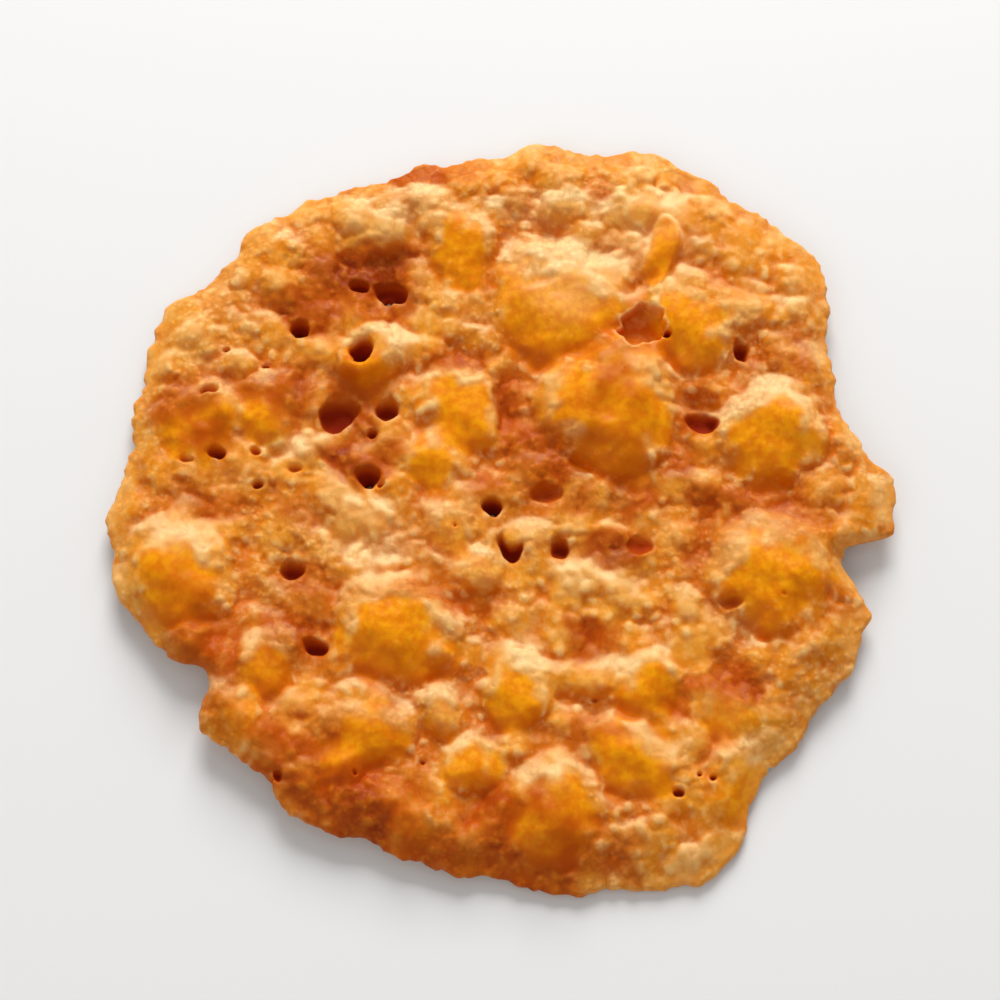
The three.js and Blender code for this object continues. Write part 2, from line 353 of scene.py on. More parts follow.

# %% [markdown]
# ## Where it browned
#
# Sugar browns unevenly: dips and burst bubbles ran hot and turned red-brown. The spots also make
# the front of the cookie, towards -Y, darker near the rim. These spots belong to this cookie, so
# each has its own place, and strong ones pass 1, which scorches.

# %% Brown spots
SPOT_EDGE = 0.1 * noise(1.5)  # unevenness of a spot's edge, in radii


def spots(places):
    """A map of soft spots, each as strong as it says in its middle."""
    field = np.zeros((CELLS, CELLS))
    for x, y, radius, stretch, turn, strength in places:
        cells, reach = around(x, y, radius, stretch, math.radians(turn), margin=3)
        spot = strength * (1 - smoothstep(reach + SPOT_EDGE[cells], 0.25, 1.15))
        field[cells] = np.maximum(field[cells], spot)
    return field


brown = spots([
    (-14, 24, 5.6, 1.25, 10, 1.35), (-20, 19.5, 4.6, 1, 0, 1.1), (-14, 9.5, 4.6, 1.4, 5, 0.65),
    (-21, 10.5, 4.4, 1.1, 0, 0.8), (-31, 10, 4.0, 1, 0, 0.8), (-24, 21, 4.0, 1, 0, 0.4),
    (-12.5, 20, 3.6, 1.7, 0, 0.8), (-25.5, 10.8, 3.2, 1, 0, 0.8), (-12.5, 4, 4.8, 1.1, 0, 1.1),
    (-19, -9.5, 5.0, 1.3, 0, 0.6), (-28.5, 6.5, 3.6, 1.3, 0, 0.6), (4.5, 3.2, 5.2, 1.35, -20, 0.8),
    (2, 10, 3.8, 0.8, 0, 1.0), (11.5, 8.5, 7.0, 1.2, 0, 0.4), (20.6, 9.2, 2.8, 0.8, 0, 0.9),
    (24.5, 0, 4.6, 1.6, 5, 0.9), (26, 16.5, 2.4, 1, 0, 0.5), (-20, -13.5, 4.6, 1.4, -30, 0.6),
    (-2.5, -9.8, 3.6, 1.6, 0, 0.7), (24, 21, 4.0, 1, 0, 0.2), (-4, 35.5, 5.0, 2.0, 0, 0.4),
    (-15.5, 26.5, 3.0, 1, 0, 0.4), (10.5, -13.8, 3.6, 1.2, 0, 1.2), (23, -19.4, 5.6, 1.3, 0, 1.1),
    (10.5, -24.5, 4.4, 1.2, 0, 0.9), (0, -23, 2.2, 1, 0, 0.6), (-27, -20, 6.0, 1.3, -50, 0.5),
    (-14, -30, 6.0, 1.4, -15, 0.9), (12.5, -4.6, 4.2, 1.8, 0, 0.85), (-28.5, -15, 5.0, 1.2, 0, 0.9),
    (-14, -23, 6.0, 1.5, 0, 0.5), (7, 28.2, 2.4, 1.6, 0, 0.3), (11, 32.2, 1.6, 1.4, 0, 0.4),
    (-3, -36, 15, 1.4, 0, 1.1), (5, -34.5, 5.5, 1.5, 0, 1.0), (9, 0, 3.6, 1.3, 0, 0.6),
    (22, -5, 5.0, 1.2, 0, 0.8), (33, -1, 4.0, 1, 0, 0.6), (-20, -2, 3.6, 1, 0, 0.5),
    (-4.5, 14.8, 3.4, 1.3, 0, 1.0), (-31, -9.5, 4.6, 1.2, 0, 0.6), (-22, -28, 5.0, 1.4, -30, 0.5),
    (22.5, -2, 4.0, 1.2, 0, 0.6), (30, 15.5, 4.0, 1, 0, 0.9), (31, -3, 5.0, 1.2, 0, 0.5),
    (-22, -20, 8.0, 1.2, -45, 0.25), (20, 4.6, 3.0, 1.2, 0, 0.6), (-27, 0, 4.0, 1.6, 0, 0.5),
    (-0.5, 1, 3.4, 1, 0, 0.8), (-9, 0, 3.0, 1, 0, 0.35), (-19, -25, 5.0, 1.3, 0, 0.75),
    (21, -6, 4.5, 1, 0, 0.6), (14, 1, 4.0, 1.3, 0, 0.5), (-8, -9.6, 3.6, 1.7, 0, 0.8),
    (3.5, 6.6, 4.5, 1.2, 0, 0.85), (12, 15.5, 4.0, 1.6, 0, 0.35), (5, 10, 3.0, 1, 0, 0.5),
])  # x, y, radius in mm, stretch, its turn in degrees, strength
print(f"{(brown > 0.5).mean() * (2 * HALF) ** 2 / 100:.0f} square cm browned")

# %% [markdown]
# ## Where it stayed blond
#
# Froth that stood high dried before it could brown, so the crowns between the blisters are
# cream.

# %% Blond spots
blond = spots([
    (8.5, 25, 5.5, 1.35, 5, 1.0), (18, 26.5, 3.2, 0.9, 0, 0.6), (27.5, 11.2, 3.4, 1.3, 0, 0.45),
    (28.5, -2.4, 3.2, 1.3, 0, 0.4), (-30.5, -3.6, 4.0, 1.4, 5, 0.75), (-11, -8, 3.2, 1.1, 0, 0.3),
    (-19, 6, 4.0, 1.4, 10, 1.0), (-25.5, 2.5, 3.5, 1.5, 0, 0.6), (-13, -3.5, 5.5, 1.3, 0, 0.9),
    (-4, -5, 3.2, 1.2, 0, 0.9), (10, -7, 3.8, 1.4, -5, 0.8), (3, -15, 2.8, 0.9, 0, 0.9),
    (12.5, -16.8, 2.4, 1.2, 0, 0.7), (24, -12.5, 3.0, 1.2, 0, 0.7), (24.5, -25, 3.6, 1.2, 0, 1.0),
    (-6, -21, 2.6, 1.1, 0, 0.6), (5.5, -28, 3.4, 1.2, 0, 0.6), (-4, -27, 2.0, 1, 0, 0.4),
    (-18, -20.5, 2.6, 1.2, 0, 0.6), (-20, 29, 4.0, 1.3, 30, 0.6), (-26.5, 22, 3.6, 1.2, 45, 0.7),
    (-10.3, 15.5, 3.6, 1, 0, 1.0), (31, 20, 5.0, 0.7, 0, 0.6), (4, 12, 3.0, 1, 0, 0.3),
    (-9, 31, 5.5, 1.5, 0, 1.0), (6, 31, 4.6, 1.3, 0, 0.8), (15.5, 30, 6.4, 1.2, 0, 1.0),
    (8, 21.5, 5.2, 1.2, 10, 1.0), (-2, 20, 3.0, 1, 0, 0.5), (-4, 3, 2.4, 1, 0, 0.4),
    (-28.5, 15, 3.6, 1, 0, 0.6), (-27.5, -19.5, 3.0, 1, 0, 0.3), (22, 15.5, 3.0, 1.3, 0, 0.5),
    (30.5, 4.5, 3.6, 1, 0, 0.8), (19, -25, 4.0, 1.5, 0, 0.6), (15, 27, 5.0, 1.3, 0, 0.9),
    (20, 25, 4.0, 1, 0, 0.5),
])
print(f"{(blond > 0.5).mean() * (2 * HALF) ** 2 / 100:.0f} square cm stayed blond")

# %% [markdown]
# ## Where it is clear caramel
#
# Where syrup ran together without air, it set to clear amber: on the skins, and in some hollows.

# %% Amber spots
amber = spots([
    (17.4, 25.8, 3.0, 1.3, 80, 1.0), (21.5, 18.5, 4.0, 0.9, 0, 0.9), (28, -8, 4.8, 1.2, 0, 1.0),
    (-6.5, 4, 3.2, 1, 0, 0.8), (-9.5, -14, 5.0, 0.9, 0, 1.0), (-30, -9, 4.0, 1.3, 0, 0.5),
    (12.5, 14, 7.5, 1.1, 0, 0.9), (4.5, 17.5, 4.0, 1.3, 0, 0.7), (22, -28, 4.5, 1.2, 40, 0.7),
    (3.5, -19.8, 3.4, 1, 0, 0.8), (16.5, -19.8, 3.4, 1.1, 0, 0.7), (28, 4.5, 5.2, 1.2, 0, 1.0),
    (-12, 12.4, 3.4, 1.2, 0, 0.9), (-3, 26, 3.4, 1, 0, 0.5), (-23.5, 8.5, 3.2, 1, 0, 0.7),
    (15, -26.4, 3.6, 1.1, 0, 0.9), (-13, -25, 5.0, 1.2, 0, 0.8), (6, -32, 5.0, 1.3, 0, 0.4),
    (-28, 13.5, 3.0, 1, 0, 0.5), (-3.5, 8, 3.2, 1, 0, 0.5), (-1.3, -7.4, 2.2, 1, 0, 0.8),
    (-4, -3.8, 2.2, 1, 0, 0.5), (-22, -17.5, 3.0, 1, 0, 0.5), (-22, 25, 3.0, 1, 0, 0.5),
    (-5, -31, 6.0, 1.4, 0, 0.8), (-25, -23, 4.6, 1.2, 0, 0.8), (-29, -15, 3.6, 1, 0, 0.8),
    (23, 21, 6.0, 1.2, 0, 0.7), (22, -2, 5.0, 1.2, 0, 0.6), (-8, -10.5, 4.5, 1.6, 0, 0.6),
    (-20, 25, 4.0, 1.2, 0, 0.7), (-2, 35.5, 5.0, 2.0, 0, 0.6), (-32, -1, 3.0, 1, 0, 0.5),
    (4, -25, 3.0, 1, 0, 0.5), (30, -2, 5.0, 1, 0, 0.7), (-27, 0, 8.0, 1.3, 0, 0.5),
    (1, -11, 5.0, 1.2, 0, 0.5), (-7, -30, 6.0, 1.3, 0, 0.7), (5, 10, 3.4, 1, 0, 0.7),
    (21, -6, 5.0, 1.2, 0, 0.5),
])
print(f"{(amber > 0.5).mean() * (2 * HALF) ** 2 / 100:.0f} square cm are amber")

# %% [markdown]
# ## The whole relief
#
# Blisters and lumps make the body of the relief, and the froth rides on it. Froth is thinner on
# the shells and absent in the pits, and a fine grain of sugar covers everything. Three single
# marks come on top: the swollen ring round the crater, two folds where a shell buckled as it
# sank, and a flake of loose skin that stands up on its right side.

# %% Body and froth
body = (domes**BLISTER_BLEND + lumps**BLISTER_BLEND) ** (1 / BLISTER_BLEND)
swell = 0.09 * noise(2.5)  # mm, a soft unevenness
fine_grain, coarse_grain = 0.03 * noise(0.5), 0.05 * noise(1.1)  # mm, of sugar
body += swell * (1 - 0.6 * shell) - basins  # a skin is smoother
fine = bubbles * (1 - 0.8 * shell) * (1 - bare) + fine_grain + coarse_grain
print("The froth stands up to", round(fine.max(), 2), "mm")

# %% Crater ring, folds and flake
CRATER = (-13.4, 15.6, 1.3)  # x, y, radius, mm
RING_AT, RING_WIDTH = 1.65, 0.55  # where the ring is highest and how wide it is, in radii
RING_HEIGHT = 0.4  # mm
FOLDS = [
    (0.2, 20.4, 13.0, 24.6, 0.2, 0.7), (-17.6, 12.6, -14.4, 18.9, 0.3, 0.6),
]  # x and y of both ends, height and width, mm
FLAKE = (17.4, 25.9, 2.75, 1.38, math.radians(80))  # x, y, radius, stretch, turn
FLAKE_LIFT, FLAKE_TILT = 0.7, 0.5  # mm in its middle, and more for each radius to the right
LIP_HEIGHT = 0.15  # mm, of the torn window's edge

cells, reach = around(*CRATER, margin=3)
fine[cells] += RING_HEIGHT * np.exp(-(((reach - RING_AT) / RING_WIDTH) ** 2))
for x0, y0, x1, y1, height, width in FOLDS:
    run_x, run_y = x1 - x0, y1 - y0
    along = ((MAP_X - x0) * run_x + (MAP_Y - y0) * run_y) / (run_x**2 + run_y**2)
    along = np.clip(along, 0, 1)
    gap = np.hypot(MAP_X + WOBBLE_X - x0 - along * run_x, MAP_Y + WOBBLE_Y - y0 - along * run_y)
    swell = np.sin(np.pi * (0.15 + 0.7 * along))  # highest half way, and low at both ends
    fine = np.maximum(fine, height * swell * np.exp(-((gap / width) ** 2)))
cells, reach = around(*FLAKE)
flake = 1 - smoothstep(reach, 0.86, 1.0)
shell[cells] = np.maximum(shell[cells], flake)
fine[cells] *= 1 - flake
body[cells] += flake * (FLAKE_LIFT + FLAKE_TILT * (MAP_X[cells] - FLAKE[0]) / FLAKE[2])
fine = blur(fine + LIP_HEIGHT * lip, 0.05)
print("The relief stands up to", round((body + fine).max(), 2), "mm")

# %% [markdown]
# ## Cut the sheet
#
# The wafer starts as a flat sheet of small squares, cut to the outline like dough under a
# cutter, with the holes cut out too. The cut edge is first a staircase of squares, so its points
# are pulled onto the true outline. Extruding the whole sheet then gives it a second side and
# walls all round, so it is a closed solid before any bubble is raised.

# %% Where to cut
SQUARE = 0.16  # mm
REACH = 43.0  # mm from the middle of the sheet to its side
DEEP, WIDE = 2.1, 0.6  # a pit that is deeper and wider than this, in mm, goes right through
HOLE_SHIFT, HOLE_SIZE = 0.55, 0.27  # it comes out under the near edge and narrower, in radii
MERGE = 0.02  # mm, distance at which two points of the cut edge become one
HOLES = [
    (x, y - HOLE_SHIFT * radius, HOLE_SIZE * radius)
    for x, y, radius, depth, *_ in PITS
    if depth > DEEP and radius > WIDE
]
CHIPS = [random.uniform(-0.18, 0.18, count) for count in (430, 210, 83)]  # crumbs, 0.6 to 3 mm long


def ragged_rim(angle):
    """The rim's radius with its crumbs: rings of straight-sided chips, fine and coarse."""
    turn = np.mod(angle, 2 * math.pi)
    return rim_radius(angle) + sum(
        np.interp(turn, np.linspace(0, 2 * math.pi, len(chips)), chips, period=2 * math.pi)
        for chips in CHIPS
    )


def hole_radius(radius, angle):
    """A hole's radius at each angle: a little three-cornered, as torn caramel is."""
    return radius * (1 + 0.12 * np.sin(3 * angle + 10 * radius) + 0.06 * np.sin(5 * angle))


print(len(HOLES), "holes go right through")

# %% Cut out the wafer
sheet = bmesh.new()
squares = round(2 * REACH / SQUARE)
bmesh.ops.create_grid(sheet, x_segments=squares, y_segments=squares, size=REACH)
flat = np.array([v.co.xy for v in sheet.verts])
outside = np.hypot(*flat.T) > ragged_rim(np.arctan2(flat[:, 1], flat[:, 0]))
for x, y, radius in HOLES:
    from_hole = flat - (x, y)
    way = np.arctan2(from_hole[:, 1], from_hole[:, 0])
    outside |= np.hypot(*from_hole.T) < hole_radius(radius, way)
waste = [v for v, out in zip(sheet.verts, outside) if out]
bmesh.ops.delete(sheet, geom=waste, context="VERTS")
print("The cut left", len(sheet.faces), "squares of", len(outside))

# %% Pull the cut edge onto the outline
for v in sheet.verts:
    if not v.is_boundary:
        continue
    x, y, radius = min(HOLES, key=lambda hole: math.dist(v.co.xy, hole[:2]))
    at_hole = math.dist(v.co.xy, (x, y)) < 3 * radius
    centre = Vector((x, y)) if at_hole else Vector((0, 0))
    outward = v.co.xy - centre
    way = math.atan2(outward.y, outward.x)
    edge = hole_radius(radius, way) if at_hole else ragged_rim(way)
    v.co.xy = centre + outward.normalized() * float(edge)
bmesh.ops.remove_doubles(sheet, verts=sheet.verts[:], dist=MERGE)

# %% Give it a second side
side = sheet.verts.layers.float.new("top")  # 1 on the blistered side
extruded = bmesh.ops.extrude_face_region(sheet, geom=sheet.faces[:], use_keep_orig=True)
for part in extruded["geom"]:
    if isinstance(part, bmesh.types.BMVert):
        part[side] = 1.0
        part.co.z += 1
bmesh.ops.recalc_face_normals(sheet, faces=sheet.faces[:])


# %% [markdown]
# The extrude operator makes the walls in an order that changes from run to run, and thinning the
# mesh depends on that order. So the edges and faces are put in the order of their points, which
# never changes, and the lesson gives the same cookie each time.

# %% Put its parts in order
def rank(part):
    """A number for an edge or a face: by its first point, and then by the sum of its points."""
    corners = [v.index for v in part.verts]
    return min(corners) * 4 * len(sheet.verts) + sum(corners)


sheet.verts.index_update()
sheet.edges.sort(key=rank)
sheet.faces.sort(key=rank)
blank = bpy.data.meshes.new("cookie_blank")
sheet.to_mesh(blank)
sheet.free()
print("The blank has", len(blank.polygons), "faces")

# %% [markdown]
# ## Bake it
#
# Now every point of the blank moves to its place. The underside set flat on the tray and lifts
# towards the rim. The top side is the underside plus the wafer's thickness plus the blisters,
# and the froth stands out square to that surface, so beads on the flank of a blister lean out as
# real ones do.

# %% Read the map and the mesh
def read(field, x, y):
    """The map's value at each point, between its cells."""
    column = np.clip((x + HALF) / CELL - 0.5, 0, CELLS - 2)
    row = np.clip((y + HALF) / CELL - 0.5, 0, CELLS - 2)
    c, r = column.astype(int), row.astype(int)
    fc, fr = column - c, row - r
    return (
        field[r, c] * (1 - fc) * (1 - fr) + field[r, c + 1] * fc * (1 - fr)
        + field[r + 1, c] * (1 - fc) * fr + field[r + 1, c + 1] * fc * fr
    )


def points(mesh):
    """The places of a mesh's points, one row each."""
    places = np.zeros(len(mesh.vertices) * 3, np.float32)
    mesh.vertices.foreach_get("co", places)
    return places.reshape(-1, 3).astype(float)


place = points(blank)
x, y, on_top = place[:, 0], place[:, 1], place[:, 2] > 0.5
print("The blank has", len(place), "points")

# %% Thickness at each point
WAFER_THICKNESS = 2.0  # mm, between the blisters
RIPPLE = 0.22  # mm, height of the low unevenness between the blisters
EDGE_THICKNESS = 0.8  # mm
EDGE_TAPER = 0.14  # share of the radius over which the wafer thins to its edge
RELIEF_TAPER = 0.07  # share of the radius over which the blisters die out
FLOOR = 0.35  # mm, least thickness under a pit


def share_at(angle, distance):
    """How far a point is on its way to the rim, 0 to 1, by a few steps of Newton's method."""
    extra = rim_radius(angle) - RIM_RADIUS
    share = distance / RIM_RADIUS
    for _ in range(6):
        error = RIM_RADIUS * share + extra * share**4 - distance
        share = share - error / (RIM_RADIUS + 4 * extra * share**3)
    return np.clip(share, 0, 1)


angle, distance = np.arctan2(y, x), np.hypot(x, y)
share = share_at(angle, distance)
inner = smoothstep(1 - share, 0, EDGE_TAPER)
ripple = RIPPLE * np.sin(0.9 * x + 0.4 * y) * np.sin(0.8 * y - 0.3 * x + 1)
plate = EDGE_THICKNESS + (WAFER_THICKNESS + ripple - EDGE_THICKNESS) * inner
relieved = smoothstep(1 - share, 0, RELIEF_TAPER)
thickness = plate + read(blur(body, 0.08), x, y) * relieved
depth = np.minimum(read(blur(pits, 0.08), x, y), thickness - FLOOR)
print(f"It is {(thickness - depth).min():.2f} to {thickness.max():.2f} mm thick")

# %% Lift the rim and round the edges
RIM_LIFT = 2.4  # mm
FLAT_SHARE = 0.62  # share of the radius that lies flat
EDGE_ROUND = 0.35  # mm
HOLE_ROUND = 0.5  # mm
EDGE_WALL = 0.15  # share of the thickness that is left as a plain wall at the very edge
WAIST = 0.4  # how far up its thickness the edge stands out most


def underside(angle, share):
    """How far the underside stands off the table: flat in the middle, and lifted at the rim."""
    wave = 0.55 + 0.3 * np.sin(2 * angle + 0.6) + 0.15 * np.sin(3 * angle + 2)
    return RIM_LIFT * wave * smoothstep(share, FLAT_SHARE, 1) ** 1.5


def rounded(gap, radius):
    """The share of the thickness that is left at a distance from an edge, as on a quarter round."""
    return EDGE_WALL + (1 - EDGE_WALL) * np.sqrt(1 - (1 - np.clip(gap / radius, 0, 1)) ** 2)


bottom = underside(angle, share)
top = bottom + thickness - depth
rounding = rounded(ragged_rim(angle) - distance, EDGE_ROUND)
for hole_x, hole_y, radius in HOLES:
    dx, dy = x - hole_x, y - hole_y
    gap = np.hypot(dx, dy) - hole_radius(radius, np.arctan2(dy, dx))
    rounding = np.minimum(rounding, rounded(gap, HOLE_ROUND))
waist = bottom + WAIST * (top - bottom)
top = waist + (top - waist) * rounding
bottom = waist - (waist - bottom) * rounding

# %% Raise the froth and place the points
slope_y, slope_x = np.gradient(blur(body, 0.3), CELL)
tilt_x, tilt_y = read(slope_x, x, y) * relieved, read(slope_y, x, y) * relieved
normal = np.stack([-tilt_x, -tilt_y, np.ones_like(x)], 1)
normal /= np.linalg.norm(normal, axis=1)[:, None]
grain = read(0.05 * noise(1.5), x, y)  # mm, of the underside
out = (read(fine, x, y) * (0.6 + 0.4 * inner) * rounding)[:, None] * normal
place[:, 0] = x + np.where(on_top, out[:, 0], 0)
place[:, 1] = y + np.where(on_top, out[:, 1], 0)
place[:, 2] = np.where(on_top, top + out[:, 2], bottom + np.abs(grain) * rounding)
place[:, :2] -= MIDDLE
blank.vertices.foreach_set("co", (place / 1000).astype(np.float32).ravel())
blank.update()
print("The shaped blank measures", np.ptp(place, axis=0).round(2), "mm")

# %% [markdown]
# ## Thin the mesh where it is plain
#
# The sheet's squares are as small on a smooth blister as in the froth. The Decimate modifier
# merges triangles where the surface is nearly flat and keeps them where it bends. It can leave a
# stray point behind, so those are deleted, and the count of open edges shows whether the solid
# is still closed.

# %% Decimate
MOST_TRIANGLES = 196_000
raw = bpy.data.objects.new("cookie_raw", blank)
bpy.context.scene.collection.objects.link(raw)
thin = raw.modifiers.new("thin", "DECIMATE")
thin.ratio = MOST_TRIANGLES / sum(len(p.vertices) - 2 for p in blank.polygons)
bpy.context.view_layer.update()
baked = bpy.data.meshes.new_from_object(raw.evaluated_get(bpy.context.evaluated_depsgraph_get()))
baked.name = "cookie_wafer"
bpy.data.objects.remove(raw)
cleaned = bmesh.new()
cleaned.from_mesh(baked)
stray = [v for v in cleaned.verts if not v.link_faces]
bmesh.ops.delete(cleaned, geom=stray, context="VERTS")
open_edges = sum(not e.is_manifold for e in cleaned.edges)
cleaned.to_mesh(baked)
cleaned.free()
wafer = bpy.data.objects.new("cookie_wafer", baked)
bpy.context.scene.collection.objects.link(wafer)
baked.polygons.foreach_set("use_smooth", np.ones(len(baked.polygons), bool))
baked.calc_loop_triangles()
print("The wafer has", len(baked.loop_triangles), "triangles and", open_edges, "open edges")

# %% [markdown]
# ## Masks for the crust
#
# The crust's colour follows its shape. The near side of each dome, which faces away from the key
# light, gets painted shade, and the far side a painted highlight. The hollows are darker and the
# crowns paler, partly from browning and partly as painted shade and highlight. So the maps become
# point attributes, numbers that each point of the mesh carries, and the material reads them.

# %% Masks from the relief
relief = body + fine
scorch = brown + 0.12 * noise(5) + 0.1 * noise(1.5)
slope = -np.gradient(blur(relief, 0.3), CELL, axis=0)  # more than 0 where it falls to the far side
# Painted shade: slopes that fall towards the near side, away from the key light, are marked for a
# darker orange, less so on blond and amber spots.
near_side_painted_shade = smoothstep(0.05 * noise(1.5) - slope, 0.0, 0.6) * (1 - 0.5 * blond - 0.3 * amber)
# Painted highlight: slopes that fall to the far side, towards the key light, are marked for cream.
# The blond spots add their own cream, also stronger on the far side.
far_side_highlight_and_blond = smoothstep(slope + 0.07 * noise(1.5), 0.0, 0.55) * (0.7 - 0.55 * shell)
far_side_highlight_and_blond += blond * (0.28 + 0.42 * smoothstep(slope, -0.3, 0.5)) * (1 - 0.3 * shell)
far_side_highlight_and_blond *= (1 - bare) * (1 - 0.7 * brown) * (1 - 0.75 * amber)
clear = amber * (1 - 0.5 * brown)
print(f"The steepest slope is {np.abs(slope).max():.1f}")

# %% Write them on the mesh
place = points(baked) * 1000
x, y = place[:, 0] + MIDDLE[0], place[:, 1] + MIDDLE[1]
from_rim = rim_radius(np.arctan2(y, x)) - np.hypot(x, y)
masks = {
    "shell": read(shell, x, y),
    "rough": read(1 - np.maximum(shell, 0.6 * clear), x, y),
    # more than 0 between the beads of froth, and less than 0 on them
    "crease": np.clip(read(blur(fine, 0.45) - fine, x, y) / 0.15, -1, 1),
    # more than 0 where the relief stands above what is round it
    "height": np.clip(read(blur(relief, 0.25) - blur(relief, 2.6), x, y) / 0.7, -1, 1),
    "scorch": read(scorch, x, y),
    "far_side_highlight_and_blond": np.clip(read(far_side_highlight_and_blond, x, y), 0, 1),
    "near_side_painted_shade": read(near_side_painted_shade, x, y),
    "amber": read(clear, x, y),
    "lip": read(lip, x, y),
    "froth": read(froth * (1 - 0.7 * shell) * (1 - bare), x, y),
    "rim": (1 - smoothstep(from_rim, 0, 3.5)) * (1 - smoothstep(read(scorch, x, y), 0.1, 0.6)),
    "pit": read(pit_browning_and_shade, x, y),
}
for name, values in masks.items():
    attribute = baked.attributes.new(name, "FLOAT", "POINT")
    attribute.data.foreach_set("value", values.astype(np.float32))
print("The mesh carries", len(masks), "masks")

# %% [markdown]
# ## The crust
#
# The crust is caramel: sugar and butter boiled until they browned, then cooled to a brittle
# glass. A clear shell is deep amber. Froth is the same caramel full of air, so it is paler and
# dull, and its thinnest walls dry to cream. Over these colours come painted shade and painted
# highlights that follow the shape. The colour is built in coats, each laid over the last where
# one mask says, as a glaze is brushed on. Every pattern's scale comes from a real size: 1000 over
# the size in mm, since a texture counts its clouds or cells for each metre.

# %% Colours and nodes
def linear(code):
    """An sRGB hex colour as Blender's linear red, green, blue and alpha."""
    values = [int(code[i : i + 2], 16) / 255 for i in (1, 3, 5)]
    return [v / 12.92 if v <= 0.04045 else ((v + 0.055) / 1.055) ** 2.4 for v in values] + [1.0]


def add_node(tree, kind, inputs, **settings):
    """Adds a node. An input's value is a number, a colour, or another node's output to link."""
    node = tree.nodes.new("ShaderNode" + kind)
    for name, value in settings.items():
        setattr(node, name, value)
    for name, value in inputs.items():
        if isinstance(value, bpy.types.NodeSocket):
            tree.links.new(value, node.inputs[name])
        else:
            node.inputs[name].default_value = value
    return node


# %% Masks and patterns in the material
crust = bpy.data.materials.new("baked_caramel_crust")
crust.use_nodes = True
tree = crust.node_tree
tree.nodes.clear()
mask = {
    name: add_node(tree, "Attribute", {}, attribute_name=name).outputs["Fac"]
    for name in [*masks, "top"]
}
where = add_node(tree, "TexCoord", {}).outputs["Object"]
mottle, patches = (
    add_node(tree, "TexNoise", {"Vector": where, "Scale": 1000 / mm, "Detail": 2.0}).outputs["Fac"]
    for mm in (0.9, 8)
)

# Froth too fine for the mesh: cells of 0.7 mm, coarser than the real ones so that they show, and
# moved up to 0.4 mm aside by a noise, so that they aren't all round.
swirl = add_node(tree, "TexNoise", {"Vector": where, "Scale": 1000 / 1.1, "Detail": 0.0})
nudge = {0: swirl.outputs["Color"], 1: (0.0004, 0.0004, 0.0004), 2: where}
moved = add_node(tree, "VectorMath", nudge, operation="MULTIPLY_ADD")
foam_cells = add_node(tree, "TexVoronoi", {"Vector": moved.outputs[0], "Scale": 1000 / 0.7})
foam = foam_cells.outputs["Distance"]  # 0 in the middle of a cell
luck = add_node(tree, "SeparateColor", {"Color": foam_cells.outputs["Color"]}).outputs[0]


# %% Coats of colour on the blistered side
def coat(colour, paint, guide, low, high, most=1.0, only=1.0):
    """Lays a paint over a colour as a guide goes from low to high, up to most times only."""
    limits = {"From Min": low, "From Max": high, "To Min": 0.0, "To Max": most}
    amount = add_node(tree, "MapRange", {"Value": guide, **limits}, interpolation_type="SMOOTHSTEP")
    amount = add_node(tree, "Math", {0: amount.outputs["Result"], 1: only}, operation="MULTIPLY")
    mix = {0: amount.outputs[0], 6: colour, 7: linear(paint) if isinstance(paint, str) else paint}
    return add_node(tree, "Mix", mix, data_type="RGBA").outputs[2]


froth_colour = coat(linear("#E68A1C"), "#EE9A2A", patches, 0.35, 0.65)
shell_colour = coat(linear("#EE8200"), "#FCA206", mottle, 0.3, 0.7)
# Pale sugar: a painted highlight on crowns, bead tops and foam cell middles, and also a random pale
# mottle.
pale_sugar_and_highlight = coat(linear("#FFD88E"), "#E48620", mask["scorch"], 0.1, 0.9)  # cream, or orange if browned
# Painted shade between the beads and at the edges of the foam cells, browner where scorched.
crease_shade = coat(linear("#BC5C0C"), "#8E3004", mask["scorch"], 0.1, 0.9)
bubbly = add_node(tree, "Math", {0: mask["froth"], 1: luck}, operation="MULTIPLY").outputs[0]

colour = coat(froth_colour, shell_colour, mask["shell"], 0.0, 0.9, 0.95)
for paint, name, low, high, most, only in [
    (shell_colour, "amber", 0.0, 1.0, 0.65, 1.0),
    # painted shade on the near side of each slope
    ("#E06E02", "near_side_painted_shade", 0.0, 1.0, 0.75, 1.0),
    # hollows darker: partly browning, partly painted shade
    ("#D05C02", "height", 0.1, -0.7, 0.7, 1.0),  # hollows
    ("#B84402", "scorch", 0.1, 1.0, 0.84, 1.0),
    ("#8C2C02", "scorch", 0.85, 1.4, 0.8, 1.0),
    # crowns paler: partly less browned caramel, partly a painted highlight
    (pale_sugar_and_highlight, "height", 0.0, 0.8, 0.5, mask["rough"]),  # crowns
    # painted highlight on the far side of each slope, with the blond spots
    ("#FFD898", "far_side_highlight_and_blond", 0.0, 1.0, 0.9, 1.0),
    # painted highlights on the tops of the beads and painted shade between them
    (pale_sugar_and_highlight, "crease", -0.1, -1.0, 0.5, mask["rough"]),  # the tops of the beads
    (crease_shade, "crease", 0.1, 1.0, 0.5, mask["rough"]),  # between the beads
    ("#FFD288", "lip", 0.0, 1.0, 0.4, 1.0),
    ("#F2AA4C", "rim", 0.2, 1.0, 0.35, 1.0),
]:
    colour = coat(colour, paint, mask[name], low, high, most, only)
colour = coat(colour, pale_sugar_and_highlight, mottle, 0.4, 0.75, 0.25, mask["rough"])
# painted highlights in the middles of the foam cells and painted shade at their edges
colour = coat(colour, pale_sugar_and_highlight, foam, 0.4, 0.05, 0.3, bubbly)
colour = coat(colour, crease_shade, foam, 0.3, 0.65, 0.24, mask["froth"])
# pits darker with depth: partly dark caramel, partly painted shade
colour = coat(colour, "#B04004", mask["pit"], 0.0, 0.8, 0.9)
colour = coat(colour, "#96280A", mask["pit"], 0.6, 1.4, 0.95)

